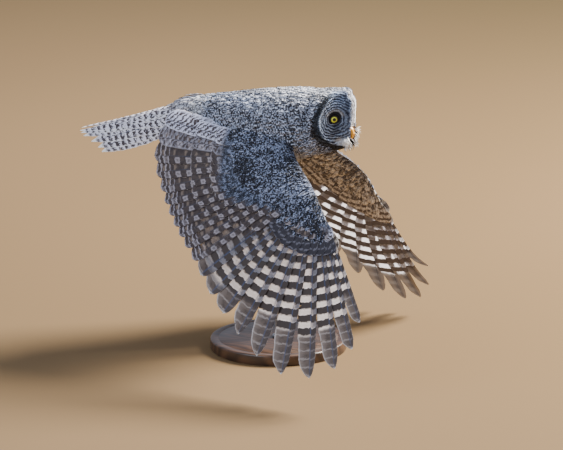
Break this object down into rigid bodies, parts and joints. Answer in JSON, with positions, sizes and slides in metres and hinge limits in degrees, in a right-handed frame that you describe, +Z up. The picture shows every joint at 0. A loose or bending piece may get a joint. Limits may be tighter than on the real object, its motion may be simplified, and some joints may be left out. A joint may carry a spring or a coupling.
{
  "type": "great grey owl",
  "caption": "Life-size great grey owl in flight, wings low on the downstroke, head turned a little to its right, held by a plain display stand with a flat round base and a steel rod",
  "frame": {"origin": "centre of the underside of the stand's base", "axes": "+X the way the owl flies, +Y its left side, +Z up"},
  "size_m": [0.8003, 0.776, 0.5997],
  "materials": {
    "plumage": "soft feathered",
    "face": "soft feathered",
    "flight_feathers": "barred feathers",
    "tail_feathers": "barred feathers",
    "bill": "satin horn",
    "eye": "wet gloss",
    "leg": "soft feathered",
    "claw": "satin horn",
    "stand_base": "dark satin",
    "stand_steel": "brushed"
  },
  "bodies": {
    "root": {"torso": "plumage", "neck": "plumage", "head": "face", "tail": "tail_feathers", "bill_upper": "bill", "bill_lower": "bill", "eye_right": "eye", "wing_right": "flight_feathers", "leg_right": "leg", "claw_right_1": "claw", "claw_right_2": "claw", "claw_right_3": "claw", "claw_right_4": "claw", "eye_left": "eye", "wing_left": "flight_feathers", "leg_left": "leg", "claw_left_1": "claw", "claw_left_2": "claw", "claw_left_3": "claw", "claw_left_4": "claw", "stand_base": "stand_base", "stand_rod": "stand_steel", "stand_saddle": "stand_steel"}
  },
  "joints": []
}
